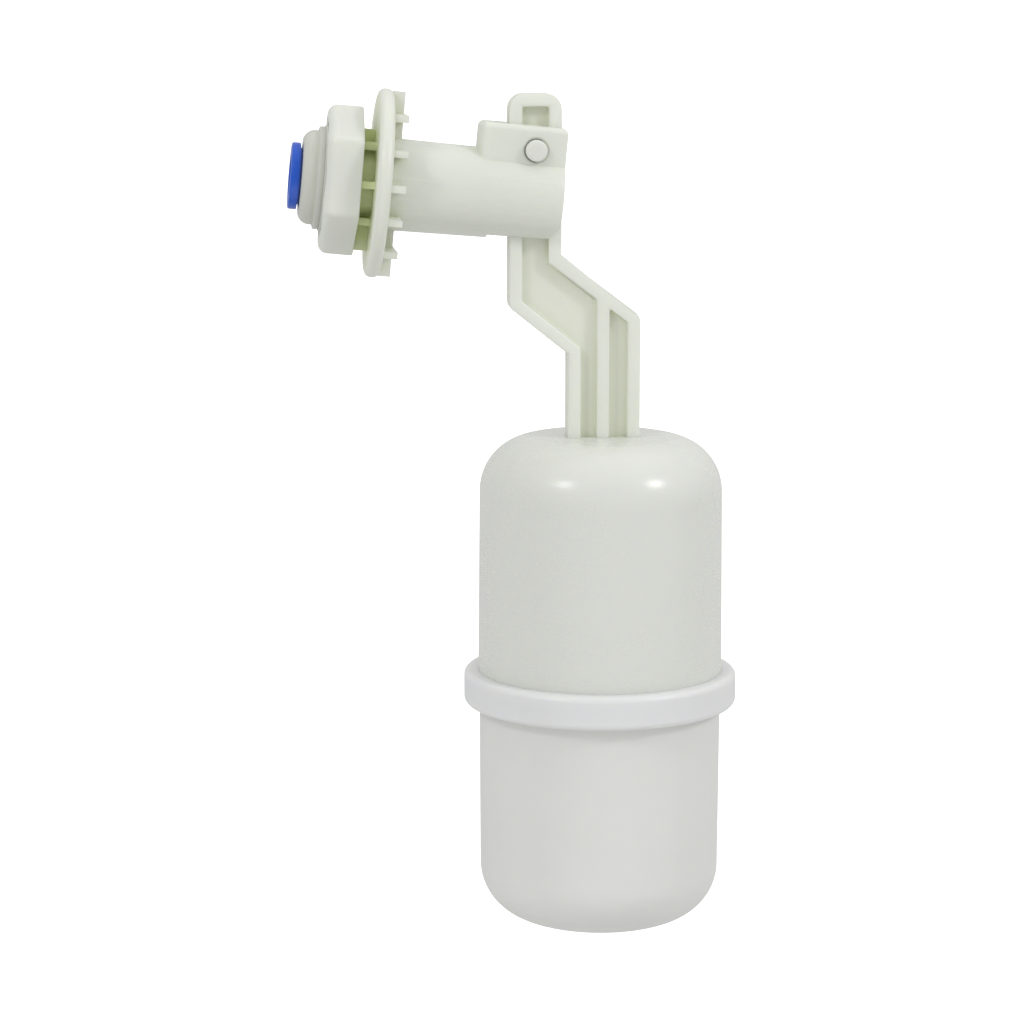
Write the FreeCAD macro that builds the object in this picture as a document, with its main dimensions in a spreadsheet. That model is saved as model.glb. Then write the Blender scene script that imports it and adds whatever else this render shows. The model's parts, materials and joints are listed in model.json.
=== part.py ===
import FreeCAD, Part
import Sketcher
import math
import os
import re
from FreeCAD import Placement, Rotation, Vector

# Float valve for a small tank, laid out with the inlet bore along X.
# Origin: middle of the flange face that lies on the tank wall.  +X runs to the arm, +Z is up.
# Lengths are millimetres and angles are degrees.

# Every size that can be chosen on its own.
SIZES = {
    # tube socket, the size the inlet end is built around
    "tube_socket_radius": 3.25,
    "tube_socket_left": -2.7,
    "tube_stop": 3.0,
    "ring_section": 0.93,
    "ring_gap": 0.02,
    "seal_groove_left": -4.6,
    "retainer_step": 0.5,
    "retainer_gap": 0.05,
    "cap_socket_right": -5.8,
    "spigot_gap": 0.05,
    # threaded neck
    "neck_left": -8.0,
    "neck_ring_right": -2.6,
    "neck_wall": 1.6,
    "thread_deep": 0.5,
    "thread_pitch": 2.0,
    "thread_start": 0.6,
    "thread_sink": 0.05,
    "ridge_wide": 1.0,
    "core_wall": 3.35,
    "neck_key_deep": 2.5,
    "neck_key_left": -1.95,
    "neck_web_thick": 2.0,
    "neck_rib_pitch": 6.0,
    "neck_rib_thick": 1.15,
    # flange and its ribs
    "flange_radius": 15.2,
    "flange_thick": 2.4,
    "flange_round": 1.05,
    "flange_rib_right": 4.65,
    "flange_rib_pitch": 5.4,
    "flange_rib_thick": 1.1,
    "flange_rib_margin": 1.0,
    "flange_web_right": 4.3,
    "flange_web_margin": 0.3,
    # barrel and ears
    "chamber_left": 6.4,
    "chamber_radius": 5.4,
    "barrel_wall": 1.65,
    "barrel_draft": 0.4,
    "barrel_right": 30.6,
    "corner_round": 3.6,
    "ear_left": 16.7,
    "ear_wall": 2.0,
    "ear_rise": 3.9,
    "ear_round": 1.0,
    "slot_left": 19.2,
    "slot_gap": 0.3,
    # seat
    "orifice_radius": 1.5,
    "seat_tip": 8.0,
    "seat_tip_radius": 2.1,
    "seat_root_radius": 2.6,
    # pivot and swing
    "pivot_x": 25.65,
    "pin_radius": 1.75,
    "pin_proud": 1.3,
    "pin_head_lip": 0.35,
    "pin_head_thick": 1.2,
    "pin_head_gap": 0.2455,
    "pin_round": 0.4,
    "pin_hole_gap": 0.12,
    "pin_hole_chamfer": 0.3,
    "hinge_gap": 0.09,
    "rest_angle": 5.3,
    "shut_angle": -5.0,
    "drop_angle": 27.0,
    # end cap
    "cap_left": -11.4,
    "cap_wall": 1.5,
    "cap_lip": 1.35,
    "cap_face_drop": 2.0,
    "cap_cone_bow": 2.0,
    "cap_cone_right": -9.1,
    "cap_disc_left": -8.9,
    "cap_disc_step": 0.7,
    # collet and its teeth
    "collet_left": -13.15,
    "collet_head_right": -11.75,
    "collet_wall": 1.3,
    "collet_lip": 0.8,
    "collet_barb": 0.6,
    "collet_barb_left": -9.1,
    "collet_right": -7.1,
    "collet_chamfer": 0.2,
    "collet_slit": 0.9,
    "collet_slit_left": -10.3,
    "collet_gap": 0.2,
    "tooth_bite": 0.03,
    "tooth_deep": 1.05,
    "tooth_left": -8.7,
    "tooth_lean": 0.8,
    "tooth_thick": 0.3,
    "tooth_arc": 56.0,
    # lock nut
    "nut_left": -7.85,
    "nut_right": -2.1,
    "nut_wall": 3.2,
    "nut_turn": 5.5,
    "nut_round": 1.4,
    "nut_edge_round": 1.6,
    "nut_thread_gap": 0.15,
    "nut_chamfer": 0.6,
    # plunger and its seal
    "seat_gap": 0.04,
    "seal_margin": 1.3,
    "seal_thick": 2.0,
    "seal_proud": 0.4,
    "plunger_gap": 0.08,
    "plunger_right": 18.6,
    "stem_radius": 1.5,
    "flute_radius": 1.2,
    "nose_radius": 4.0,
    "nose_gap": 0.06,
    # arm, measured from the pivot with the arm hanging straight
    "arm_thick": 4.8,
    "arm_web": 1.6,
    "arm_rim": 2.1,
    "arm_left": -4.05,
    "arm_right": 4.4,
    "arm_top": 9.0,
    "arm_top_round": 2.5,
    "left_bend_top": -25.45,
    "left_bend_low": -33.15,
    "right_bend_top": -17.25,
    "right_bend_low": -27.0,
    "bend_round": 1.9,
    "shank_left": 5.6,
    "shank_right": 17.45,
    "shank_rib_thick": 2.1,
    "shank_rib_top": -23.75,
    "hub_wall": 2.0,
    "tenon_wide": 7.6,
    "tenon_thick": 3.0,
    "tenon_deep": 3.2,
    "tenon_gap": 0.05,
    # float
    "float_axis": 11.35,
    "float_top": -46.95,
    "shoulder": 9.0,
    "upper_radius": 20.0,
    "upper_draft": 0.25,
    "lower_step": 0.05,
    "lower_draft": 0.1,
    "seam": -88.75,
    "lip_proud": 1.3,
    "lip_thick": 1.3,
    "band_proud": 2.6,
    "band_half": 2.8,
    "band_round": 1.0,
    "float_bottom": -128.15,
    "bottom_round": 9.0,
    "shell_wall": 1.5,
    "socket_wall": 1.5,
}

# Sizes that follow from the others, so that every piece keeps its fit when one size is changed.
DERIVED = {
    "tooth_tip": "tube_socket_radius - tooth_bite",
    "tooth_outer": "tube_socket_radius + tooth_deep",
    "seal_groove_radius": "tooth_tip + 2 * ring_section + ring_gap",
    "retainer_socket_radius": "seal_groove_radius + retainer_step",
    "collet_stem_radius": "tube_socket_radius + collet_wall",
    "collet_barb_radius": "collet_stem_radius + collet_barb",
    "collet_head_radius": "collet_stem_radius + collet_lip",
    "cap_socket_radius": "collet_barb_radius + collet_gap + cap_wall + spigot_gap",
    "cap_disc_radius": "cap_socket_radius + cap_lip",
    "cap_cone_radius": "cap_disc_radius - cap_disc_step",
    "cap_face_radius": "cap_disc_radius - cap_face_drop",
    "thread_root": "cap_socket_radius + neck_wall",
    "thread_crest": "thread_root + thread_deep",
    "core_radius": "tube_socket_radius + core_wall",
    "neck_key_reach": "thread_root + neck_key_deep",
    "nut_bore": "thread_crest + nut_thread_gap",
    "nut_groove": "nut_bore + thread_deep",
    "nut_corner": "thread_crest + nut_wall",
    "flange_rib_reach": "flange_radius - flange_rib_margin",
    "flange_web_reach": "flange_radius - flange_web_margin",
    "barrel_right_radius": "chamber_radius + barrel_wall",
    "barrel_left_radius": "barrel_right_radius + barrel_draft",
    "slot_half": "arm_thick / 2 + slot_gap",
    "ear_half": "slot_half + ear_wall",
    "ear_top": "pivot_z + ear_rise",
    "pin_head_radius": "pin_radius + pin_head_lip",
    "pin_front": "-(ear_half + pin_proud)",
    "pivot_z": "sqrt(pow(barrel_right_radius; 2) - pow(ear_half; 2)) + pin_head_radius + pin_head_gap",
    "middle_angle": "(shut_angle + drop_angle) / 2",
    "rest_lead": "pivot_z * sin((rest_angle - middle_angle) * 1deg)",
    "shut_lead": "pivot_z * sin((shut_angle - middle_angle) * 1deg)",
    "nose_level": "pivot_x + rest_lead - nose_radius",
    "seal_left": "seat_tip + rest_lead - shut_lead + seat_gap",
    "seal_radius": "seat_tip_radius + seal_margin",
    "boss_radius": "pin_radius + hinge_gap + hub_wall",
    "upper_low_radius": "upper_radius + upper_draft",
    "lower_radius": "upper_radius + lower_step",
    "lower_end_radius": "upper_radius - lower_draft",
    "lip_radius": "upper_radius + lip_proud",
    "band_radius": "upper_radius + band_proud",
}

os.makedirs("parts", exist_ok=True)
doc = FreeCAD.newDocument("float_valve")
sheet = doc.addObject("Spreadsheet::Sheet", "Sizes")
for row, (word, value) in enumerate(SIZES.items(), start=1):
    sheet.set("A%d" % row, word)
    sheet.set("B%d" % row, str(value))
    sheet.setAlias("B%d" % row, word)
doc.recompute()

CLOSE = 1e-4          # how near two sizes must be to count as the same edge
PAST = "0.1"          # how far a cut or a root runs past the face it starts from
FULL_TURN = 360.0
TOOTH_COUNT = FLUTE_COUNT = 4
LEFT, RIGHT = 1, -1    # the way an arc in an outline turns


def spelled(text):
    """An expression with every derived size written out in the words of the sheet."""
    def swap(found):
        word = found[0]
        if word in DERIVED:
            return "(" + spelled(DERIVED[word]) + ")"
        return "Sizes." + word if word in SIZES else word
    return re.sub(r"[a-z_]+", swap, text)


def worth(text):
    """The number an expression gives."""
    return float(sheet.evalExpression(spelled(text)))


def bind(thing, prop, text):
    """Tie one property to an expression."""
    thing.setExpression(prop, spelled(text))


def part_body(label):
    made = doc.addObject("PartDesign::Body", label)
    made.Label = label
    return made


def sketch_on(owner, name, plane, offset=None):
    """An empty sketch on one of the body's own origin planes, lifted along that plane's normal."""
    made = owner.newObject("Sketcher::SketchObject", name)
    made.AttachmentSupport = [(next(f for f in owner.Origin.OriginFeatures if f.Role == plane), "")]
    made.MapMode = "FlatFace"
    if offset:
        bind(made, "AttachmentOffset.Base.z", offset)
    return made


def tie(made, kind, index, point, text):
    """Hold one point of a sketch at a sheet size from the origin, across (X) or up (Y)."""
    if text == "0":
        made.addConstraint(Sketcher.Constraint("PointOnObject", index, point, -2 if kind == "X" else -1))
        return
    made_as = Sketcher.Constraint("Distance" + kind, -1, 1, index, point, worth(text))
    bind(made, "Constraints[%d]" % made.addConstraint(made_as), text)


def bow(start, end, radius, side):
    """An arc under half a circle from start to end, turning LEFT or RIGHT."""
    chord = end - start
    across = Vector(-chord.y, chord.x, 0).normalize()
    rise = math.sqrt(radius ** 2 - chord.Length ** 2 / 4)
    centre = (start + end) / 2 + across * (side * rise)
    first, last = (start, end) if side > 0 else (end, start)
    angles = [math.atan2(spot.y - centre.y, spot.x - centre.x) for spot in (first, last)]
    if angles[1] < angles[0]:
        angles[1] += 2 * math.pi
    return Part.ArcOfCircle(Part.Circle(centre, Vector(0, 0, 1), radius), angles[0], angles[1])


def outline(made, corners, arcs=None):
    """A closed outline with every corner tied to the sheet.

    arcs gives the sides that are arcs, each as its place in the outline, its radius and the way it turns.
    """
    arcs = arcs or {}
    first, count = made.GeometryCount, len(corners)
    spots = [Vector(worth(across), worth(up), 0) for across, up in corners]
    begins, ends = [1] * count, [2] * count
    for i in range(count):
        start, end = spots[i], spots[(i + 1) % count]
        if i in arcs:
            radius, side = arcs[i]
            made.addGeometry(bow(start, end, worth(radius), side))
            if side < 0:
                begins[i], ends[i] = ends[i], begins[i]
        else:
            made.addGeometry(Part.LineSegment(start, end))
    for i in range(count):
        after = (i + 1) % count
        made.addConstraint(
            Sketcher.Constraint("Coincident", first + i, ends[i], first + after, begins[after]))
    for i, (across, up) in enumerate(corners):
        tie(made, "X", first + i, begins[i], across)
        tie(made, "Y", first + i, begins[i], up)
    for i, (radius, side) in arcs.items():
        made_as = Sketcher.Constraint("Radius", first + i, worth(radius))
        bind(made, "Constraints[%d]" % made.addConstraint(made_as), radius)
    return made


def block(made, x0, y0, x1, y1):
    """A rectangle between two opposite corners."""
    return outline(made, [(x0, y0), (x1, y0), (x1, y1), (x0, y1)])


def circle(made, across, up, radius):
    """A circle with its centre and radius tied to the sheet."""
    index = made.addGeometry(
        Part.Circle(Vector(worth(across), worth(up), 0), Vector(0, 0, 1), worth(radius)))
    tie(made, "X", index, 3, across)
    tie(made, "Y", index, 3, up)
    size = made.addConstraint(Sketcher.Constraint("Radius", index, worth(radius)))
    bind(made, "Constraints[%d]" % size, radius)
    return made


def prism(owner, kind, name, profile, length=None, both=False, flip=False):
    """A Pad or a Pocket of a profile; without a length a Pocket goes through everything."""
    made = owner.newObject("PartDesign::" + kind, name)
    made.Profile = profile
    made.Midplane = both
    made.Reversed = flip
    if length:
        bind(made, "Length", length)
    else:
        made.Type = "ThroughAll"
    profile.Visibility = False
    return made


def turn(owner, kind, name, profile, axis):
    """A Revolution or a Groove of a profile about the sketch's own axis."""
    made = owner.newObject("PartDesign::" + kind, name)
    made.Profile = profile
    made.ReferenceAxis = (profile, [axis])
    made.Angle = FULL_TURN
    profile.Visibility = False
    return made


def around(owner, name, feature, axis_of, count):
    """Copies of one feature spread evenly about the level axis of a sketch."""
    made = owner.newObject("PartDesign::PolarPattern", name)
    made.Originals = [feature]
    made.Axis = (axis_of, ["H_Axis"])
    made.Angle = FULL_TURN
    made.Occurrences = count
    owner.Tip = made
    return made


def dress(owner, kind, name, feature, test, amount):
    """A Fillet or a Chamfer on the edges of a feature that pass a test."""
    doc.recompute()
    chosen = [
        "Edge%d" % i
        for i, edge in enumerate(feature.Shape.Edges, start=1)
        if not edge.Degenerated and test(edge)
    ]
    made = owner.newObject("PartDesign::" + kind, name)
    made.Base = (feature, chosen)
    bind(made, "Radius" if kind == "Fillet" else "Size", amount)
    return made


def any_of(*tests):
    """A test that passes when one of the given tests does."""
    return lambda edge: any(test(edge) for test in tests)


def near(number, text):
    """Whether a number is at a sheet size."""
    return abs(number - worth(text)) < CLOSE


def ring_edge(axis, place, radius):
    """Tests for a circle about one axis at one place along it with one radius."""
    def test(edge):
        curve = edge.Curve
        if not isinstance(curve, Part.Circle):
            return False
        return near(getattr(curve.Center, axis), place) and near(curve.Radius, radius)
    return test


def straight_edge(**places):
    """Tests for a straight edge whose both ends share the given x, y or z."""
    def test(edge):
        if not isinstance(edge.Curve, Part.Line):
            return False
        return all(near(getattr(v.Point, axis), text) for v in edge.Vertexes for axis, text in places.items())
    return test


def thread(owner, kind, name, profile, height):
    """A ridge or a groove of the neck's pitch wound about X: an AdditiveHelix or a SubtractiveHelix."""
    made = owner.newObject("PartDesign::" + kind, name)
    made.Profile = profile
    made.ReferenceAxis = (profile, ["H_Axis"])
    made.Mode = 0
    bind(made, "Pitch", "thread_pitch")
    bind(made, "Height", height)
    profile.Visibility = False
    return made


# ---- valve body ----------------------------------------------------------------------------
valve = part_body("valve_body")
turned = outline(sketch_on(valve, "ValveOutside", "XZ_Plane"), [
    ("neck_left", "0"), ("neck_left", "thread_root"), ("neck_ring_right", "thread_root"),
    ("neck_ring_right", "core_radius"), ("0", "core_radius"), ("0", "flange_radius"),
    ("flange_thick", "flange_radius"), ("flange_thick", "barrel_left_radius"),
    ("barrel_right", "barrel_right_radius"), ("barrel_right", "0"),
])
shape = turn(valve, "Revolution", "ValveTurned", turned, "H_Axis")
rims = any_of(ring_edge("x", "0", "flange_radius"), ring_edge("x", "flange_thick", "flange_radius"))
dress(valve, "Fillet", "FlangeRim", shape, rims, "flange_round")

web = outline(sketch_on(valve, "NeckWebOutline", "XZ_Plane"), [
    ("neck_ring_right - " + PAST, "thread_root"), (PAST, "thread_root"), (PAST, "-neck_key_reach"),
    ("neck_key_left", "-neck_key_reach"), ("neck_key_left", "-thread_root"),
    ("neck_ring_right - " + PAST, "-thread_root"),
])
prism(valve, "Pad", "NeckWeb", web, "neck_web_thick", both=True)


def cross_rib(name, height, reach, left, right, thick):
    """A level rib across the valve whose ends stop on a circle about the bore."""
    half = "sqrt(pow(%s; 2) - pow(abs(%s) + %s / 2; 2))" % (reach, height, thick)
    plan = block(sketch_on(valve, name + "Plan", "XY_Plane", None if height == "0" else height),
                 left, "-" + half, right, half)
    prism(valve, "Pad", name, plan, thick, both=True)


for index in (-1, 0, 1):
    cross_rib("NeckRib%d" % (index + 2), "%d * neck_rib_pitch" % index if index else "0", "thread_crest",
              "neck_ring_right - " + PAST, PAST, "neck_rib_thick")
for index in (-2, -1, 0, 1, 2):
    cross_rib("FlangeRib%d" % (index + 3), "%d * flange_rib_pitch" % index if index else "0",
              "flange_rib_reach", "flange_thick - " + PAST, "flange_rib_right", "flange_rib_thick")
web = block(sketch_on(valve, "FlangeWebOutline", "XZ_Plane"),
            "flange_thick - " + PAST, "-flange_web_reach", "flange_web_right", "flange_web_reach")
prism(valve, "Pad", "FlangeWeb", web, "flange_rib_thick", both=True)

ears = block(sketch_on(valve, "EarPlan", "XY_Plane"), "ear_left", "-ear_half", "barrel_right", "ear_half")
shape = prism(valve, "Pad", "Ears", ears, "ear_top")
ear_edges = any_of(
    straight_edge(z="ear_top", y="-ear_half"), straight_edge(z="ear_top", y="ear_half"),
    straight_edge(z="ear_top", x="ear_left"), straight_edge(z="ear_top", x="barrel_right"),
    straight_edge(x="ear_left", y="-ear_half"), straight_edge(x="ear_left", y="ear_half"),
)
dress(valve, "Fillet", "EarRounding", shape, ear_edges, "ear_round")

bore = outline(sketch_on(valve, "WaterWay", "XZ_Plane"), [
    ("neck_left - " + PAST, "0"), ("neck_left - " + PAST, "cap_socket_radius"),
    ("cap_socket_right", "cap_socket_radius"), ("cap_socket_right", "retainer_socket_radius"),
    ("seal_groove_left", "retainer_socket_radius"), ("seal_groove_left", "seal_groove_radius"),
    ("tube_socket_left", "seal_groove_radius"), ("tube_socket_left", "tube_socket_radius"),
    ("tube_stop", "tube_socket_radius"), ("tube_stop", "orifice_radius"), ("seat_tip", "orifice_radius"),
    ("seat_tip", "seat_tip_radius"), ("chamber_left", "seat_root_radius"),
    ("chamber_left", "chamber_radius"), ("barrel_right + " + PAST, "chamber_radius"),
    ("barrel_right + " + PAST, "0"),
])
turn(valve, "Groove", "WaterWayCut", bore, "H_Axis")

slot = block(sketch_on(valve, "SlotPlan", "XY_Plane"),
             "slot_left", "-slot_half", "barrel_right + " + PAST, "slot_half")
prism(valve, "Pocket", "ArmSlot", slot, both=True)

corner = outline(sketch_on(valve, "CornerOutline", "XZ_Plane"), [
    ("barrel_right - corner_round", "-barrel_left_radius - " + PAST),
    ("barrel_right - corner_round", "-barrel_right_radius"),
    ("barrel_right", "-barrel_right_radius + corner_round"),
    ("barrel_right + " + PAST, "-barrel_right_radius + corner_round"),
    ("barrel_right + " + PAST, "-barrel_left_radius - " + PAST),
], arcs={1: ("corner_round", LEFT)})
prism(valve, "Pocket", "LowCorner", corner, both=True)

hinge = circle(sketch_on(valve, "PinHole", "XZ_Plane"), "pivot_x", "pivot_z", "pin_radius + pin_hole_gap")
shape = prism(valve, "Pocket", "PinHoles", hinge, both=True)
dress(valve, "Chamfer", "PinHoleMouth", shape,
      ring_edge("y", "-ear_half", "pin_radius + pin_hole_gap"), "pin_hole_chamfer")

# the ridge is a trapezium: half a pitch wide at its root and half of that at its crest
ridge = outline(sketch_on(valve, "ThreadSection", "XZ_Plane"), [
    ("neck_left + thread_start", "thread_root - thread_sink"),
    ("neck_left + thread_start + ridge_wide / 4", "thread_crest"),
    ("neck_left + thread_start + 3 * ridge_wide / 4", "thread_crest"),
    ("neck_left + thread_start + ridge_wide", "thread_root - thread_sink"),
])
thread(valve, "AdditiveHelix", "NeckThread", ridge,
       "neck_ring_right - neck_left - 2 * thread_start - ridge_wide")

# ---- end cap that holds the collet ---------------------------------------------------------
cap = part_body("end_cap")
mouth = "(collet_stem_radius + collet_gap)"
inside = "(collet_barb_radius + collet_gap)"
profile = outline(sketch_on(cap, "CapSection", "XZ_Plane"), [
    ("cap_left", mouth), ("cap_left", "cap_face_radius"), ("cap_cone_right", "cap_cone_radius"),
    ("cap_disc_left", "cap_disc_radius"), ("neck_left", "cap_disc_radius"),
    ("neck_left", "cap_socket_radius - spigot_gap"),
    ("cap_socket_right - spigot_gap", "cap_socket_radius - spigot_gap"),
    ("cap_socket_right - spigot_gap", inside), ("collet_barb_left", inside),
    ("collet_barb_left - (collet_barb_radius - collet_stem_radius)", mouth),
], arcs={1: ("cap_cone_bow", RIGHT)})
turn(cap, "Revolution", "CapTurned", profile, "H_Axis")

# ---- collet --------------------------------------------------------------------------------
collet = part_body("collet")
profile = outline(sketch_on(collet, "ColletSection", "XZ_Plane"), [
    ("collet_left", "tube_socket_radius + collet_chamfer"),
    ("collet_left", "collet_head_radius - collet_chamfer"),
    ("collet_left + collet_chamfer", "collet_head_radius"), ("collet_head_right", "collet_head_radius"),
    ("collet_head_right", "collet_stem_radius"), ("collet_barb_left", "collet_stem_radius"),
    ("collet_barb_left + (collet_barb_radius - collet_stem_radius)", "collet_barb_radius"),
    ("collet_right - collet_chamfer", "collet_barb_radius"),
    ("collet_right", "collet_barb_radius - collet_chamfer"), ("collet_right", "tube_socket_radius"),
    ("collet_left + collet_chamfer", "tube_socket_radius"),
])
turn(collet, "Revolution", "ColletTurned", profile, "H_Axis")
for name, plane in (("SlitUpright", "XZ_Plane"), ("SlitLevel", "XY_Plane")):
    gap = block(sketch_on(collet, name + "Outline", plane),
                "collet_slit_left", "-collet_slit / 2", "collet_right + " + PAST, "collet_slit / 2")
    prism(collet, "Pocket", name, gap, both=True)


def tooth_section(owner, name, tip):
    """The slanted section of the steel teeth, leaning in the way the tube goes in."""
    return outline(sketch_on(owner, name, "XZ_Plane"), [
        ("tooth_left", "tooth_outer"), ("tooth_left + tooth_thick", "tooth_outer"),
        ("tooth_left + tooth_thick + tooth_lean", tip), ("tooth_left + tooth_lean", tip),
    ])


turn(collet, "Groove", "ToothSeat", tooth_section(collet, "ToothSeatSection", "tooth_tip"), "H_Axis")

teeth = part_body("collet_teeth")
tooth = turn(teeth, "Revolution", "Tooth", tooth_section(teeth, "ToothSection", "tooth_tip"), "H_Axis")
tooth.Midplane = True
bind(tooth, "Angle", "tooth_arc")
around(teeth, "ToothRing", tooth, tooth.Profile[0], TOOTH_COUNT)

# ---- tube seal and the ring that keeps it in its groove -------------------------------------
ring = part_body("tube_o_ring")
middle = "(seal_groove_left + tube_socket_left) / 2"
profile = circle(sketch_on(ring, "RingSection", "XZ_Plane"),
                 middle, "tooth_tip + ring_section", "ring_section")
turn(ring, "Revolution", "RingTurned", profile, "H_Axis")

retainer = part_body("o_ring_retainer")
profile = block(sketch_on(retainer, "RetainerSection", "XZ_Plane"),
                "cap_socket_right", "tube_socket_radius + 3 * retainer_gap",
                "seal_groove_left - retainer_gap", "retainer_socket_radius - retainer_gap")
turn(retainer, "Revolution", "RetainerTurned", profile, "H_Axis")

# ---- lock nut ------------------------------------------------------------------------------
nut = part_body("lock_nut")
hexagon = outline(sketch_on(nut, "NutHexagon", "YZ_Plane", "nut_left"), [
    ("nut_corner * sin((nut_turn + %d) * 1deg)" % angle, "nut_corner * cos((nut_turn + %d) * 1deg)" % angle)
    for angle in range(0, 360, 60)
])
shape = prism(nut, "Pad", "NutBlank", hexagon, "nut_right - nut_left")
shape = dress(nut, "Fillet", "NutCorners", shape,
              lambda e: abs(e.Vertexes[0].Point.x - e.Vertexes[1].Point.x) > CLOSE, "nut_round")
dress(nut, "Fillet", "NutFront", shape,
      lambda e: all(near(v.Point.x, "nut_left") for v in e.Vertexes), "nut_edge_round")
bore = outline(sketch_on(nut, "NutBore", "XZ_Plane"), [
    ("nut_left - " + PAST, "0"), ("nut_left - " + PAST, "nut_bore + nut_chamfer + " + PAST),
    ("nut_left + nut_chamfer", "nut_bore"), ("nut_right - nut_chamfer", "nut_bore"),
    ("nut_right + " + PAST, "nut_bore + nut_chamfer + " + PAST), ("nut_right + " + PAST, "0"),
])
turn(nut, "Groove", "NutBoreCut", bore, "H_Axis")
ridge = outline(sketch_on(nut, "NutThreadSection", "XZ_Plane"), [
    ("nut_left - thread_start - ridge_wide", "nut_bore - thread_sink"),
    ("nut_left - thread_start - 3 * ridge_wide / 4", "nut_groove"),
    ("nut_left - thread_start - ridge_wide / 4", "nut_groove"),
    ("nut_left - thread_start", "nut_bore - thread_sink"),
])
thread(nut, "SubtractiveHelix", "NutThread", ridge, "nut_right - nut_left + 2 * (thread_start + ridge_wide)")

# ---- plunger and its rubber seal -------------------------------------------------------------
plunger = part_body("plunger")
profile = outline(sketch_on(plunger, "PlungerSection", "XZ_Plane"), [
    ("seal_left + seal_proud", "seal_radius"),
    ("seal_left + seal_proud", "chamber_radius - plunger_gap"),
    ("plunger_right", "chamber_radius - plunger_gap"), ("plunger_right", "stem_radius"),
    ("nose_level - nose_gap", "stem_radius"), ("nose_level - nose_gap", "0"),
    ("seal_left + seal_thick", "0"), ("seal_left + seal_thick", "seal_radius"),
])
turn(plunger, "Revolution", "PlungerTurned", profile, "H_Axis")
flute = circle(sketch_on(plunger, "FluteSection", "YZ_Plane"), "0", "chamber_radius", "flute_radius")
flute_cut = prism(plunger, "Pocket", "Flute", flute, both=True)
around(plunger, "Flutes", flute_cut, profile, FLUTE_COUNT)

washer = part_body("plunger_seal")
profile = block(sketch_on(washer, "SealSection", "XZ_Plane"),
                "seal_left", "0", "seal_left + seal_thick", "seal_radius")
turn(washer, "Revolution", "SealTurned", profile, "H_Axis")

# ---- pivot pin -------------------------------------------------------------------------------
pin = part_body("pivot_pin")
shank = circle(sketch_on(pin, "PinSection", "XZ_Plane", "-pin_front"), "pivot_x", "pivot_z", "pin_radius")
shape = prism(pin, "Pad", "PinShank", shank, "ear_half - pin_front + " + PAST, flip=True)
dress(pin, "Fillet", "PinEnd", shape, ring_edge("y", "pin_front", "pin_radius"), "pin_round")
head = circle(sketch_on(pin, "PinHeadSection", "XZ_Plane", "-ear_half - " + PAST),
              "pivot_x", "pivot_z", "pin_head_radius")
shape = prism(pin, "Pad", "PinHead", head, "pin_head_thick", flip=True)
dress(pin, "Fillet", "PinHeadEdge", shape,
      ring_edge("y", "ear_half + pin_head_thick + " + PAST, "pin_head_radius"), "pin_round")

# ---- arm, drawn hanging straight from the pivot, then swung to its rest angle ------------------
arm = part_body("float_arm")
profile = outline(sketch_on(arm, "ArmOutline", "XZ_Plane"), [
    ("arm_left", "arm_top"), ("arm_right", "arm_top"), ("arm_right", "right_bend_top"),
    ("shank_right", "right_bend_low"), ("shank_right", "float_top"), ("shank_left", "float_top"),
    ("shank_left", "left_bend_low"), ("arm_left", "left_bend_top"),
])
shape = prism(arm, "Pad", "ArmBlank", profile, "arm_thick", both=True)
tops = any_of(straight_edge(x="arm_left", z="arm_top"), straight_edge(x="arm_right", z="arm_top"))
shape = dress(arm, "Fillet", "ArmTop", shape, tops, "arm_top_round")
bends = any_of(straight_edge(x="arm_left", z="left_bend_top"),
               straight_edge(x="shank_right", z="right_bend_low"))
dress(arm, "Fillet", "ArmBends", shape, bends, "bend_round")

right_run = "(shank_right - arm_right)"
right_drop = "(right_bend_top - right_bend_low)"
left_run = "(shank_left - arm_left)"
left_drop = "(left_bend_top - left_bend_low)"
lean = "arm_rim * (sqrt(pow(%s; 2) + pow(%s; 2)) - %s) / %s"
right_lean = lean % (right_run, right_drop, right_drop, right_run)
left_lean = lean % (left_run, left_drop, left_drop, left_run)
for name, flip in (("Near", True), ("Far", False)):
    side = "arm_thick / 2" if flip else "-arm_thick / 2"
    recess = outline(sketch_on(arm, name + "RecessOutline", "XZ_Plane", side), [
        ("arm_left + arm_rim", "arm_top - arm_rim"), ("arm_right - arm_rim", "arm_top - arm_rim"),
        ("arm_right - arm_rim", "right_bend_top - " + right_lean),
        ("shank_right - arm_rim", "right_bend_low - " + right_lean),
        ("shank_right - arm_rim", "float_top - " + PAST), ("shank_left + arm_rim", "float_top - " + PAST),
        ("shank_left + arm_rim", "left_bend_low + " + left_lean),
        ("arm_left + arm_rim", "left_bend_top + " + left_lean),
    ])
    prism(arm, "Pocket", name + "Recess", recess, "(arm_thick - arm_web) / 2", flip=not flip)
rib = block(sketch_on(arm, "ShankRibOutline", "XZ_Plane"),
            "float_axis - shank_rib_thick / 2", "float_top",
            "float_axis + shank_rib_thick / 2", "shank_rib_top")
prism(arm, "Pad", "ShankRib", rib, "arm_thick", both=True)
boss = circle(sketch_on(arm, "HubSection", "XZ_Plane"), "0", "0", "boss_radius")
prism(arm, "Pad", "Hub", boss, "arm_thick", both=True)
nose = circle(sketch_on(arm, "NoseSection", "XZ_Plane"), "-pivot_z * sin(middle_angle * 1deg)",
              "-pivot_z * cos(middle_angle * 1deg)", "nose_radius")
prism(arm, "Pad", "Nose", nose, "arm_thick", both=True)
hole = circle(sketch_on(arm, "HubHole", "XZ_Plane"), "0", "0", "pin_radius + hinge_gap")
prism(arm, "Pocket", "HubBore", hole, both=True)
tenon = block(sketch_on(arm, "TenonPlan", "XY_Plane", "float_top"),
              "float_axis - tenon_wide / 2", "-tenon_thick / 2",
              "float_axis + tenon_wide / 2", "tenon_thick / 2")
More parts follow.
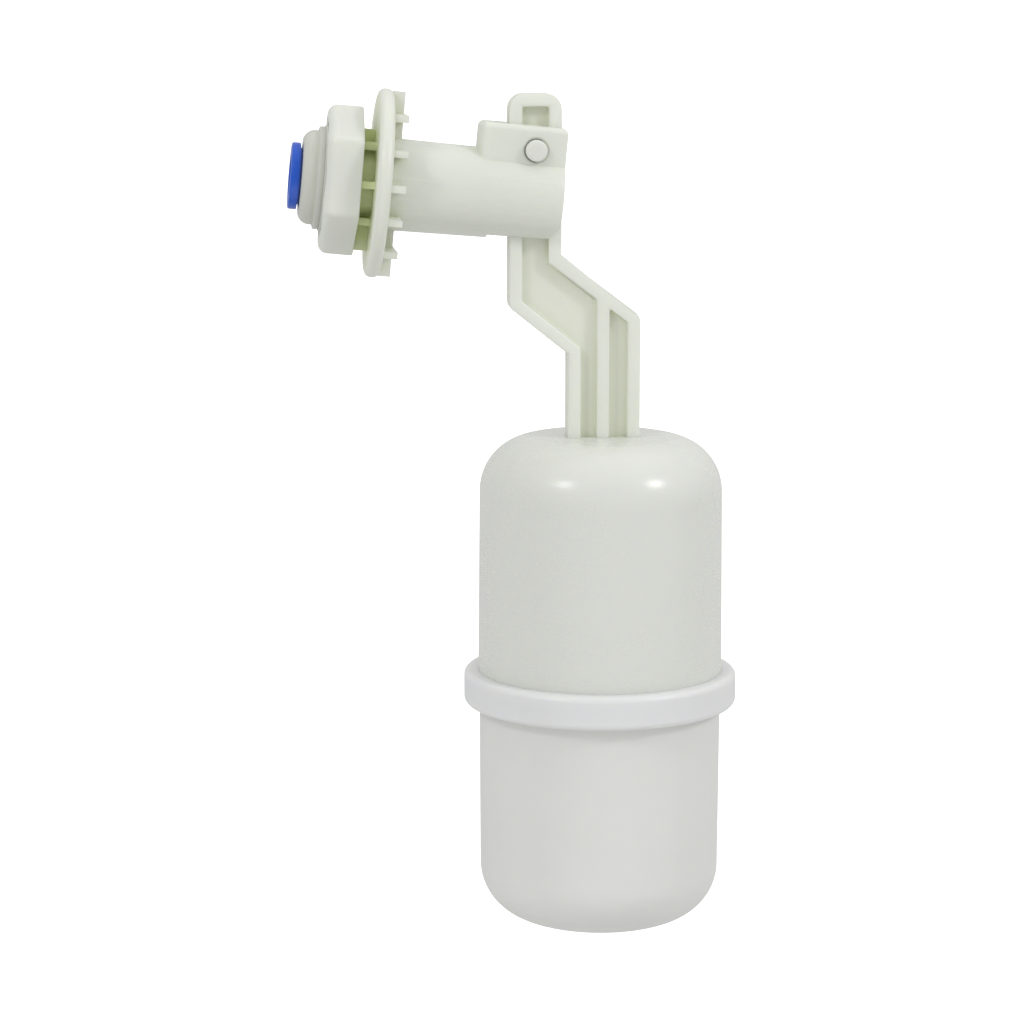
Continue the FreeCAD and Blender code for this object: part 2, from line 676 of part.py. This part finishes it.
prism(arm, "Pad", "Tenon", tenon, "tenon_deep", flip=True)


def hang(owner, reach):
    """Place a body that was drawn hanging straight: swung about the pivot, reach along the arm's X."""
    owner.Placement = Placement(Vector(0, 0, 0), Rotation(Vector(0, -1, 0), worth("rest_angle")))
    bind(owner, "Placement.Base.x", "pivot_x + %s * cos(rest_angle * 1deg)" % reach)
    bind(owner, "Placement.Base.z", "pivot_z + %s * sin(rest_angle * 1deg)" % reach)
    bind(owner, "Placement.Rotation.Angle", "rest_angle")


hang(arm, "0")

# ---- float: two shells and the band moulded over their lips -----------------------------------
upper = part_body("float_upper_shell")
flat = "(upper_radius - shoulder)"
profile = outline(sketch_on(upper, "UpperOutside", "XZ_Plane"), [
    ("0", "float_top"), (flat, "float_top"), ("upper_radius", "float_top - shoulder"),
    ("upper_low_radius", "seam + lip_thick"), ("lip_radius", "seam + lip_thick"), ("lip_radius", "seam"),
    ("0", "seam"),
], arcs={1: ("shoulder", RIGHT)})
turn(upper, "Revolution", "UpperTurned", profile, "V_Axis")
profile = outline(sketch_on(upper, "UpperInside", "XZ_Plane"), [
    ("0", "float_top - shell_wall"), (flat, "float_top - shell_wall"),
    ("upper_radius - shell_wall", "float_top - shoulder"),
    ("upper_low_radius - shell_wall", "seam - " + PAST), ("0", "seam - " + PAST),
], arcs={1: ("shoulder - shell_wall", RIGHT)})
turn(upper, "Groove", "UpperHollow", profile, "V_Axis")
half_wide = "(tenon_wide / 2 + tenon_gap + socket_wall)"
half_thick = "(tenon_thick / 2 + tenon_gap + socket_wall)"
socket = block(sketch_on(upper, "SocketPlan", "XY_Plane", "float_top - " + PAST),
               "-" + half_wide, "-" + half_thick, half_wide, half_thick)
prism(upper, "Pad", "Socket", socket, "tenon_deep + socket_wall", flip=True)
half_wide = "(tenon_wide / 2 + tenon_gap)"
half_thick = "(tenon_thick / 2 + tenon_gap)"
socket = block(sketch_on(upper, "SocketHolePlan", "XY_Plane", "float_top"),
               "-" + half_wide, "-" + half_thick, half_wide, half_thick)
prism(upper, "Pocket", "SocketHole", socket, "tenon_deep + tenon_gap")

lower = part_body("float_lower_shell")
flat = "(lower_end_radius - bottom_round)"
profile = outline(sketch_on(lower, "LowerOutside", "XZ_Plane"), [
    ("0", "seam"), ("lip_radius", "seam"), ("lip_radius", "seam - lip_thick"),
    ("lower_radius", "seam - lip_thick"), ("lower_end_radius", "float_bottom + bottom_round"),
    (flat, "float_bottom"), ("0", "float_bottom"),
], arcs={4: ("bottom_round", RIGHT)})
turn(lower, "Revolution", "LowerTurned", profile, "V_Axis")
profile = outline(sketch_on(lower, "LowerInside", "XZ_Plane"), [
    ("0", "seam + " + PAST), ("lower_radius - shell_wall", "seam + " + PAST),
    ("lower_end_radius - shell_wall", "float_bottom + bottom_round"),
    (flat, "float_bottom + shell_wall"), ("0", "float_bottom + shell_wall"),
], arcs={2: ("bottom_round - shell_wall", RIGHT)})
turn(lower, "Groove", "LowerHollow", profile, "V_Axis")

band = part_body("float_band")
profile = outline(sketch_on(band, "BandSection", "XZ_Plane"), [
    ("upper_low_radius", "seam + band_half"), ("band_radius", "seam + band_half"),
    ("band_radius", "seam - band_half"), ("lower_radius", "seam - band_half"),
    ("lower_radius", "seam - lip_thick"), ("lip_radius", "seam - lip_thick"),
    ("lip_radius", "seam + lip_thick"), ("upper_low_radius", "seam + lip_thick"),
])
shape = turn(band, "Revolution", "BandTurned", profile, "V_Axis")
rims = any_of(ring_edge("z", "seam + band_half", "band_radius"),
              ring_edge("z", "seam - band_half", "band_radius"))
dress(band, "Fillet", "BandEdges", shape, rims, "band_round")
for owner in (upper, lower, band):
    hang(owner, "float_axis")

# ---- check everything, then write one file per piece --------------------------------------------
doc.recompute()
PIECES = [valve, cap, retainer, ring, pin, nut, collet, teeth, plunger, washer, arm, upper, band, lower]
faults = [
    "%s: %s" % (thing.Name, ", ".join(thing.State))
    for thing in doc.Objects
    if "Invalid" in thing.State or "Error" in thing.State
]
for piece in PIECES:
    solid = piece.Shape
    if solid.isNull() or not solid.isValid() or solid.Volume <= 0:
        faults.append("%s: no sound solid" % piece.Label)
if faults:
    raise RuntimeError("not written: " + "; ".join(faults))
for piece in PIECES:
    piece.Shape.exportStep("parts/%s.step" % piece.Label)
    box = piece.Shape.BoundBox
    print("%-18s solids %d  volume %9.1f  x %7.2f %7.2f  y %7.2f %7.2f  z %8.2f %8.2f" % (
        piece.Label, len(piece.Shape.Solids), piece.Shape.Volume,
        box.XMin, box.XMax, box.YMin, box.YMax, box.ZMin, box.ZMax))
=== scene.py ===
# %% [markdown]
# # A float valve, dressed for the studio
#
# The pieces of the valve come in as a fixed frame, already at their real size and place.  This lesson
# gives them rounded moulded edges, plastic, rubber and steel, then lights and photographs them.
# Every length is in metres, because that is Blender's own unit and the frame's.

# %% Load the frame
import json
import math

import bmesh
import bpy
from mathutils import Matrix, Vector


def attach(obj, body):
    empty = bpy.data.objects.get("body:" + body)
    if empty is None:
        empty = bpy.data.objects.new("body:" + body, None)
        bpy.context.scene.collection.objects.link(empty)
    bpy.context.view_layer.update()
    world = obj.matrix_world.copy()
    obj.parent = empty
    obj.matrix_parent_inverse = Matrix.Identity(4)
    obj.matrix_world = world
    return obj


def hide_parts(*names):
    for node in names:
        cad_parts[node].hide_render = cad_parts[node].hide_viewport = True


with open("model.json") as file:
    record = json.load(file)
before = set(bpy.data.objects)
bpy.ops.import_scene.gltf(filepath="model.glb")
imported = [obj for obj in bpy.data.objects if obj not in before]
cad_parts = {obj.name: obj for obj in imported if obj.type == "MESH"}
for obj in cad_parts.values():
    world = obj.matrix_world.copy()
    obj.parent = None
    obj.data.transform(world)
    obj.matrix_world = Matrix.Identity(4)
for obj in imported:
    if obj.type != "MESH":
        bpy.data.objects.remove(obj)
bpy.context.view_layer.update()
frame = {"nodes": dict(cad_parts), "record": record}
MM = 0.001
print("pieces:", sorted(frame["nodes"]))

# %% [markdown]
# ## Nodes written as sums
#
# A finish is a tree of shader nodes.  Wiring a Math node for every sign is slow to write and hard to
# read, so a small class wraps one socket and gives it Python's own signs.  Colours never go through
# Math nodes, which would turn them grey: they are blended by Mix nodes.

# %% Wire and Finish
class Wire:
    """One output of a node in a finish, which takes Python's own signs."""

    def __init__(self, finish, socket):
        self.finish, self.socket = finish, socket

    def math(self, operation, first, second):
        made = self.finish.node("ShaderNodeMath", {"operation": operation}, {0: first, 1: second})
        return self.finish.wire(made, 0)

    def __add__(self, other):
        return self.math("ADD", self, other)

    def __radd__(self, other):
        return self.math("ADD", other, self)

    def __sub__(self, other):
        return self.math("SUBTRACT", self, other)

    def __rsub__(self, other):
        return self.math("SUBTRACT", other, self)

    def __mul__(self, other):
        return self.math("MULTIPLY", self, other)

    def __rmul__(self, other):
        return self.math("MULTIPLY", other, self)

    def __abs__(self):
        return self.math("ABSOLUTE", self, 0.0)

    def __pow__(self, other):
        return self.math("POWER", self, other)

    def ramp(self, low, high):
        """0 below low, 1 above high and smooth between them."""
        made = self.finish.node(
            "ShaderNodeMapRange", {"interpolation_type": "SMOOTHSTEP"},
            {"Value": self, "From Min": low, "From Max": high})
        return self.finish.wire(made, "Result")


class Finish:
    """A material being made, with one shader at its end."""

    def __init__(self, name):
        self.material = bpy.data.materials.new(name)
        self.material.use_nodes = True
        self.tree = self.material.node_tree
        self.tree.nodes.clear()
        self.shader = self.node("ShaderNodeBsdfPrincipled")
        output = self.node("ShaderNodeOutputMaterial")
        self.tree.links.new(self.shader.outputs["BSDF"], output.inputs["Surface"])
        place = self.node("ShaderNodeTexCoord")
        self.place = self.wire(place, "Object")
        parts = self.node("ShaderNodeSeparateXYZ", {}, {"Vector": self.place})
        self.x, self.y, self.z = (self.wire(parts, axis) for axis in "XYZ")

    def node(self, kind, settings=None, sockets=None):
        """Any node: its settings first, then what goes in its sockets."""
        made = self.tree.nodes.new(kind)
        for word, value in (settings or {}).items():
            setattr(made, word, value)
        for word, value in (sockets or {}).items():
            self.feed(made.inputs[word], value)
        return made

    def feed(self, socket, value):
        if isinstance(value, Wire):
            self.tree.links.new(value.socket, socket)
        else:
            socket.default_value = value

    def wire(self, node, output):
        return Wire(self, node.outputs[output])

    def mixed(self, amount, first, second):
        """A colour between two colours."""
        made = self.node("ShaderNodeMix", {"data_type": "RGBA"}, {"Factor": amount})
        self.feed(made.inputs[6], first)
        self.feed(made.inputs[7], second)
        return self.wire(made, 2)

    def noise(self, scale, detail=2.0, roughness=0.5, stretch=(1, 1, 1)):
        """Noise from 0 to 1, with scale in waves for each metre."""
        spot = self.node("ShaderNodeMapping", {}, {"Vector": self.place, "Scale": stretch})
        made = self.node(
            "ShaderNodeTexNoise", {},
            {"Vector": self.wire(spot, "Vector"), "Scale": scale, "Detail": detail, "Roughness": roughness})
        return self.wire(made, "Fac")

    def set(self, **values):
        for word, value in values.items():
            self.feed(self.shader.inputs[word.replace("_", " ")], value)
        return self


print("Wire and Finish are ready")

# %% [markdown]
# ## Moulded plastic
#
# The valve is natural polypropylene: an off-white that lets some light in, so that thin walls look a little
# green.  Its skin is a copy of the mould, with a faint orange peel, and the larger pieces have a hair of
# flash where the mould's halves met.  The light that enters is given by subsurface scattering.  On top of
# that, light and shade are painted into the colour: the green of light coming through thin walls and the
# shade in their recesses by a mask on the piece's own position, and painted shade, a darker olive, in inside
# corners by a node that measures how closed in each point is.

# %% The plastic's maker
CLOUD_WAVES, SKIN_WAVES, GRAIN_WAVES = 70, 900, 5200  # for each metre
SKIN_RISE, GRAIN_RISE, FLASH_RISE = 0.030, 0.012, 0.08  # millimetres
# Painted shade: the darker olive that inside corners are darkened towards, and how far that darkening
# reaches.
NOOK_SHADE = (0.62, 0.665, 0.44)
NOOK_SHADE_REACH = 3 * MM
CLOUD_DARKENING = 0.965


def plastic(name, colour, roughness=0.36, inside=0.25, peel=1.0, corner_shade=0.55, thin=None, thin_wall_light_and_shade=None,
            parting=None):
    """A moulded plastic.

    inside is how much light the plastic lets in, peel scales its skin, and nooks is how far painted shade
    darkens its inside corners.  thin and parting are functions of the finish: thin gives 1 where
    thin_wall_light_and_shade is painted in, for light coming through a thin wall and shade in its recess, and
    parting gives 1 on the line where the mould's halves met.
    """
    finish = Finish(name)
    cloud = finish.noise(CLOUD_WAVES, detail=3.0)
    darker = [part * CLOUD_DARKENING for part in colour]
    tinted = finish.mixed(cloud.ramp(0.3, 0.75) * 0.5, (*colour, 1), (*darker, 1))
    # Painted light and shade: the green of light coming through thin walls and the shade in their recesses.
    if thin:
        tinted = finish.mixed(thin(finish), tinted, (*thin_wall_light_and_shade, 1))
    # Painted shade: the more closed in a point is, the more its colour is darkened towards a deeper olive.
    nook = finish.node(
        "ShaderNodeAmbientOcclusion", {"samples": 8, "only_local": True}, {"Distance": NOOK_SHADE_REACH})
    closed_in = 1 - finish.wire(nook, "AO")
    tinted = finish.mixed(closed_in ** 1.2 * corner_shade, tinted, (*NOOK_SHADE, 1))
    skin = finish.noise(SKIN_WAVES, detail=2.0)
    grain = finish.noise(GRAIN_WAVES, detail=2.0, roughness=0.6)
    height = skin * (SKIN_RISE * peel) + grain * (GRAIN_RISE * peel)
    if parting:
        height = height + parting(finish) * FLASH_RISE
    bump = finish.node("ShaderNodeBump", {}, {"Height": height, "Distance": MM, "Strength": 0.6})
    finish.set(
        Base_Color=tinted, Roughness=roughness + 0.10 * (cloud - 0.5) + 0.06 * (grain - 0.5),
        Normal=finish.wire(bump, "Normal"), IOR=1.49, Subsurface_Weight=inside, Subsurface_Scale=4 * MM,
        Subsurface_Radius=(1.0, 0.95, 0.6))
    return finish.material


print("plastic with a skin", SKIN_RISE, "mm deep and flash", FLASH_RISE, "mm high")

# %% [markdown]
# ## Painted light and shade where the plastic is thin, and where the mould parted
#
# The valve body shows its thinnest walls in the neck, between the flange and the nut, where light comes
# through from behind; that light and the shade between the neck's ribs are painted into its colour as a
# yellow-green.  The arm's web is thin too, and sits back between its rims, where painted shade greys it.
# Each mask reads the piece's own position, so it stays with the piece when the arm swings.  The moulds parted
# on the plane through the middle of the valve, and its flash is a line on that plane.

# %% Thin walls and flash
NECK_FROM, NECK_TO = (-2.75 * MM, -2.5 * MM), (-0.05 * MM, 0.05 * MM)
NECK_RIB_FOOT = (9.1 * MM, 9.6 * MM)
WEB_SIDE = (0.9 * MM, 1.9 * MM)
VALVE_FLASH, FLOAT_FLASH = 0.12 * MM, 0.10 * MM


def neck_light_and_shade_mask(finish):
    """All of the painted light and shade between the neck's ribs, and a part of it on the ribs and the wall
    face.
    """
    from_axis = (finish.y * finish.y + finish.z * finish.z) ** 0.5
    neck = finish.x.ramp(*NECK_FROM) * (1 - finish.x.ramp(*NECK_TO))
    return neck * (1 - 0.4 * from_axis.ramp(*NECK_RIB_FOOT))


def arm_web_shade_mask(finish):
    """The arm's web, set back from its rims, where it takes painted shade."""
    return (1 - abs(finish.y).ramp(*WEB_SIDE)) * 0.8


def flash(half):
    """A mask for flash on the middle plane, half as wide as half says."""
    def middle_line(finish):
        return 1 - abs(finish.y).ramp(half * 0.4, half)
    return middle_line


print("thin walls in the neck and the arm's web; flash", VALVE_FLASH / MM, "and", FLOAT_FLASH / MM, "mm")

# %% [markdown]
# ## One plastic for each piece
#
# The pieces come from different batches and moulds, so each has its own gloss and most their own tint: the
# float's upper shell is the glossiest, the band is whiter, and the collet is blue all through.  The end cap
# is set a darker grey than the rest.

# %% Plastics
CREAM = (0.79, 0.81, 0.735)
WHITE = (0.81, 0.815, 0.79)
# Painted light and shade: the yellow-green of light through the neck's thin walls and of the shade between
# its ribs.
NECK_LIGHT_AND_SHADE = (0.78, 0.86, 0.46)
# Painted shade: the grey of the arm's web, set back between its rims.
WEB_SHADE = (0.745, 0.765, 0.675)
looks = {
    "valve_body": plastic(
        "valve plastic", (0.75, 0.77, 0.695), thin=neck_light_and_shade_mask, thin_wall_light_and_shade=NECK_LIGHT_AND_SHADE, parting=flash(VALVE_FLASH)),
    "float_arm": plastic(
        "arm plastic", CREAM, thin=arm_web_shade_mask, thin_wall_light_and_shade=WEB_SHADE, parting=flash(VALVE_FLASH), corner_shade=0.5),
    "float_upper_shell": plastic(
        "upper shell plastic", (0.755, 0.767, 0.71), roughness=0.27, peel=0.5, parting=flash(FLOAT_FLASH)),
    "float_lower_shell": plastic(
        "lower shell plastic", (0.78, 0.785, 0.745), roughness=0.42, peel=0.6, parting=flash(FLOAT_FLASH)),
    "float_band": plastic("band plastic", (0.79, 0.795, 0.785), roughness=0.34),
    "lock_nut": plastic("nut plastic", (0.75, 0.765, 0.70), roughness=0.40),
    "end_cap": plastic("cap plastic", (0.60, 0.61, 0.55), roughness=0.42),
    "o_ring_retainer": plastic("retainer plastic", WHITE),
    "pivot_pin": plastic("pin plastic", (0.74, 0.75, 0.70), roughness=0.38),
    "plunger": plastic("plunger plastic", WHITE),
    "collet": plastic("collet plastic", (0.004, 0.085, 0.56), roughness=0.33, inside=0.05, peel=0.7),
}
print(len(looks), "plastics")

# %% [markdown]
# ## Rubber and spring steel
#
# Rubber is nearly black, dull, and dusted by its own bloom.  The collet's teeth are stamped from
# stainless strip, whose grain runs round the ring, so its noise is squeezed along the bore.

# %% Rubber and steel
BLOOM_WAVES, RUBBER_WAVES, BRUSH_WAVES = 1800, 6000, 4000  # for each metre

rubber = Finish("rubber")
bloom = rubber.noise(BLOOM_WAVES, detail=4.0)
pimples = rubber.node(
    "ShaderNodeBump", {}, {"Height": rubber.noise(RUBBER_WAVES), "Distance": MM, "Strength": 0.05})
rubber.set(
    Base_Color=rubber.mixed(bloom.ramp(0.45, 0.8), (0.018, 0.018, 0.019, 1), (0.05, 0.05, 0.052, 1)),
    Roughness=0.55 + 0.25 * bloom, Normal=rubber.wire(pimples, "Normal"))

steel = Finish("spring steel")
brushed = steel.noise(BRUSH_WAVES, detail=3.0, stretch=(1.0, 0.15, 0.15))
steel.set(
    Base_Color=steel.mixed(brushed, (0.50, 0.50, 0.51, 1), (0.70, 0.70, 0.71, 1)),
    Roughness=0.22 + 0.2 * brushed, Metallic=1.0)
looks.update(tube_o_ring=rubber.material, plunger_seal=rubber.material, collet_teeth=steel.material)

for name, finish in looks.items():
    node = frame["nodes"][name]
    node.data.materials.clear()
    node.data.materials.append(finish)
print("finishes on", len(looks), "pieces")

# %% [markdown]
# ## Edges as they leave the mould
#
# A moulded edge is never quite sharp: the steel of the mould is rounded, and the plastic shrinks
# away from it.  Each outside piece with sharp edges is copied, its flat faces are joined, and the
# edges are bevelled by a few tenths of a millimetre.  A bevel modifier would do the same, but the
# operator lets each piece say which edges stay as they are, such as a bore that something runs in.
# An edge also stays sharp where a flat edge leaves its end at a narrow angle, because the bevel
# slides along that flat edge and would run far away.

# %% Rounded copies
BODY_OF = {node: body for body, nodes in frame["record"]["behaviour"]["bodies"].items() for node in nodes}
SAME_POINT = 0.0005 * MM
SHARP, CREASE, FLAT, NARROW = (math.radians(angle) for angle in (35, 40, 12, 20))
COPLANAR = math.radians(0.5)
BEVEL_STEPS = 2


def crowded(edge):
    """Whether a flat edge leaves either end of an edge at a narrow angle."""
    for vert in edge.verts:
        along = edge.other_vert(vert).co - vert.co
        for other in vert.link_edges:
            flat = other.is_manifold and other.calc_face_angle() < FLAT
            if other is not edge and flat and along.angle(other.other_vert(vert).co - vert.co) < NARROW:
                return True
    return False


def moulded_edges(shape, left_sharp):
    """The edges to be rounded, apart from those that left_sharp is true for."""
    return [
        edge for edge in shape.edges
        if edge.is_manifold and edge.calc_face_angle() > SHARP and not crowded(edge)
        and not (left_sharp and left_sharp(edge))
    ]


def rounded(node, radius, left_sharp=None):
    """A copy of a piece with its sharp edges rounded, which stands for the piece."""
    shape = bmesh.new()
    shape.from_mesh(frame["nodes"][node].data)
    bmesh.ops.remove_doubles(shape, verts=shape.verts, dist=SAME_POINT)
    bmesh.ops.dissolve_limit(shape, angle_limit=COPLANAR, verts=shape.verts, edges=shape.edges)
    edges = moulded_edges(shape, left_sharp)
    bmesh.ops.bevel(shape, geom=edges, offset=radius, offset_type="OFFSET", affect="EDGES",
                    segments=BEVEL_STEPS, profile=0.5, material=-1, clamp_overlap=False)
    bmesh.ops.remove_doubles(shape, verts=shape.verts, dist=SAME_POINT)
    for face in shape.faces:
        face.smooth = True
    for edge in shape.edges:
        edge.smooth = not (edge.is_manifold and edge.calc_face_angle() > CREASE)
    mesh = bpy.data.meshes.new(node + "_moulding")
    shape.to_mesh(mesh)
    shape.free()
    mesh.materials.append(looks[node])
    piece = bpy.data.objects.new(node + "_moulding", mesh)
    bpy.context.scene.collection.objects.link(piece)
    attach(piece, BODY_OF[node])
    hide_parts(node)
    print(node, "rounded by", round(radius / MM, 2), "mm:", len(edges), "edges,", len(mesh.polygons), "faces")


print("edges sharper than", round(math.degrees(SHARP)), "degrees are rounded")

# %% [markdown]
# ## Which edges stay sharp
#
# Threads, bores and the pin's holes keep the edges that their neighbours were fitted to.  So do the
# arm's feet, which stand tight on the float.  The ribs that cross on the flange, and the arm's hub,
# have strips thinner than two bevels side by side, which would fold over each other.
#
# The arm hangs a few degrees off the upright.  Turning a place by that angle about the pin gives
# its height along the arm, which tells the feet from the rest.

# %% Edges that stay sharp
JOINT_OF = {joint["name"]: joint for joint in frame["record"]["behaviour"]["joints"]}
PIN = Vector(JOINT_OF["float_swing"]["pos_m"])
HANG = math.radians(5.3)
# These are in millimetres, and the last three are measured from the pin.
NECK_END, WATERWAY, CAP_BORE, NUT_THREAD, PIN_HOLE = -2.5, 6.6, 6.9, 10, 3.2
RIBS_END, CROSSED_RIBS, RIM = 6.5, 9.9, 14.0
HUB_BELOW, HUB_ABOVE, FEET = -9.5, 2.5, -46.5


def from_axis(vert):
    """How far a point lies from the middle of the water way, in millimetres."""
    x, y, z = vert.co / MM
    return math.hypot(y, z)


def within(radius):
    """A test for edges that lie wholly within a radius of the water way's middle."""
    return lambda edge: all(from_axis(vert) < radius for vert in edge.verts)


def sharp_on_valve(edge):
    """Edges of the neck, the bores, the crossed ribs and the pin's holes."""
    for vert in edge.verts:
        x, y, z = vert.co / MM
        on_ribs = x < RIBS_END and (abs(z) > CROSSED_RIBS or from_axis(vert) > RIM)
        at_pin = math.hypot(x - PIN.x / MM, z - PIN.z / MM) < PIN_HOLE
        if x < NECK_END or from_axis(vert) < WATERWAY or on_ribs or at_pin:
            return True
    return False


def sharp_on_arm(edge):
    """Edges at the height of the hub, of the tenon, and of the feet that stand on the float."""
    from_pin = [(vert.co - PIN) / MM for vert in edge.verts]
    heights = [spot.z * math.cos(HANG) - spot.x * math.sin(HANG) for spot in from_pin]
    return any(HUB_BELOW < spot.z < HUB_ABOVE for spot in from_pin) or max(heights) < FEET


rounded("valve_body", 0.18 * MM, sharp_on_valve)
rounded("float_arm", 0.35 * MM, sharp_on_arm)
rounded("lock_nut", 0.3 * MM, within(NUT_THREAD))
rounded("end_cap", 0.12 * MM, within(CAP_BORE))
rounded("collet", 0.06 * MM)
rounded("pivot_pin", 0.15 * MM)

# %% [markdown]
# ## Floor
#
# The valve hangs from its flange as it would in a tank, over a plain pale floor that curves up into
# a wall.  The floor is one line of points pulled sideways.  It glows a little, so that it stays
# white.  It is hidden from diffuse and glossy rays, so its glow adds nothing to the valve, and the
# lights alone decide how bright the underside is.

# %% The floor
FLOOR_LEVEL, FLOOR_FRONT, WALL, WALL_RISE, HALF_WIDE, BEND = -0.30, -1.2, 0.9, 1.6, 1.8, 0.45
BEND_STEPS = 12


def sweep():
    """A floor that curves up behind the valve."""
    outline = [(FLOOR_FRONT, FLOOR_LEVEL), (WALL - BEND, FLOOR_LEVEL)]
    for step in range(1, BEND_STEPS + 1):
        angle = math.radians(90 * step / BEND_STEPS)
        outline.append((WALL - BEND + BEND * math.sin(angle), FLOOR_LEVEL + BEND - BEND * math.cos(angle)))
    outline.append((WALL, FLOOR_LEVEL + WALL_RISE))
    shape = bmesh.new()
    verts = [shape.verts.new((-HALF_WIDE, depth, height)) for depth, height in outline]
    edges = [shape.edges.new(pair) for pair in zip(verts, verts[1:])]
    made = bmesh.ops.extrude_edge_only(shape, edges=edges)
    moved = [item for item in made["geom"] if isinstance(item, bmesh.types.BMVert)]
    bmesh.ops.translate(shape, verts=moved, vec=(2 * HALF_WIDE, 0, 0))
    for face in shape.faces:
        face.smooth = True
    mesh = bpy.data.meshes.new("studio_floor")
    shape.to_mesh(mesh)
    shape.free()
    piece = bpy.data.objects.new("studio_floor", mesh)
    bpy.context.scene.collection.objects.link(piece)
    return piece


floor = sweep()
paper = Finish("studio paper")
fibres = paper.noise(300, detail=3.0)
paper.set(Base_Color=paper.mixed(fibres, (0.93, 0.93, 0.93, 1), (0.95, 0.95, 0.95, 1)), Roughness=0.9,
          Emission_Color=(1, 1, 1, 1), Emission_Strength=0.6)
floor.visible_diffuse = floor.visible_glossy = False
floor.data.materials.append(paper.material)
print("floor with", len(floor.data.polygons), "faces")

# %% [markdown]
# ## Light
#
# The light of a white tent comes from all round, which the world gives.  A broad panel above and
# one below, in front, even out the top and the underside.  Two small soft boxes, left and right,
# give the float's shoulder its pair of highlights.

# %% The lights
TENT_GLOW = 0.665
world = bpy.data.worlds.new("white tent")
bpy.context.scene.world = world
world.use_nodes = True
world.node_tree.nodes["Background"].inputs["Color"].default_value = (1, 1, 1, 1)
world.node_tree.nodes["Background"].inputs["Strength"].default_value = TENT_GLOW


def soft_box(name, place, aim, side, power):
    """A square light with sides of that length, turned to face an aim."""
    lamp = bpy.data.lights.new(name, "AREA")
    lamp.shape, lamp.size, lamp.size_y, lamp.energy = "RECTANGLE", side, side, power
    held = bpy.data.objects.new(name, lamp)
    held.location = place
    held.rotation_euler = (Vector(aim) - Vector(place)).to_track_quat("-Z", "Y").to_euler()
    bpy.context.scene.collection.objects.link(held)


BARREL_END, FLOAT_MIDDLE = (0.04, 0, -0.05), (0.04, 0, -0.10)
soft_box("box left", (-0.576, -0.523, 0.480), BARREL_END, side=0.16, power=1.5)
soft_box("box right", (0.633, -0.483, 0.543), BARREL_END, side=0.16, power=1.9)
soft_box("tent top", (0.03, 0.0, 1.1), (0.03, 0, 0), side=1.4, power=2.4)
soft_box("tent below", (0.05, -0.5, -0.75), FLOAT_MIDDLE, side=0.9, power=3.2)

# %% [markdown]
# ## Camera
#
# A long lens half a metre away, a little above the float's middle and slightly rolled, as a person
# holding the camera would have it.

# %% The camera
AIM = Vector((30, 0, -60)) * MM
AWAY, SIDE, RISE = 504.564 * MM, -1.452 * MM, 8.122 * MM
TURN, TILT, ROLL = (math.radians(angle) for angle in (-6.872, 9.121, 5.390))
SENSOR = 36  # millimetres, as Blender takes it
SEEN = 169.312 * MM  # how wide the picture is at the aim
back = Vector((math.sin(TURN) * math.cos(TILT), -math.cos(TURN) * math.cos(TILT), math.sin(TILT)))
level = Vector((math.cos(TURN), math.sin(TURN), 0))
upward = back.cross(level)
right = level * math.cos(ROLL) + upward * math.sin(ROLL)
top = upward * math.cos(ROLL) - level * math.sin(ROLL)

camera = bpy.data.objects.new("camera", bpy.data.cameras.new("camera"))
bpy.context.scene.collection.objects.link(camera)
turned = Matrix((right, top, back)).transposed().to_4x4()
camera.matrix_world = Matrix.Translation(AIM + right * SIDE + top * RISE + back * AWAY) @ turned
camera.data.sensor_width = SENSOR
camera.data.lens = SENSOR * AWAY / SEEN
camera.data.clip_start, camera.data.clip_end = 0.01, 20
bpy.context.scene.camera = camera
bpy.context.scene.view_settings.view_transform = "Standard"
print("lens", round(camera.data.lens, 1), "mm")
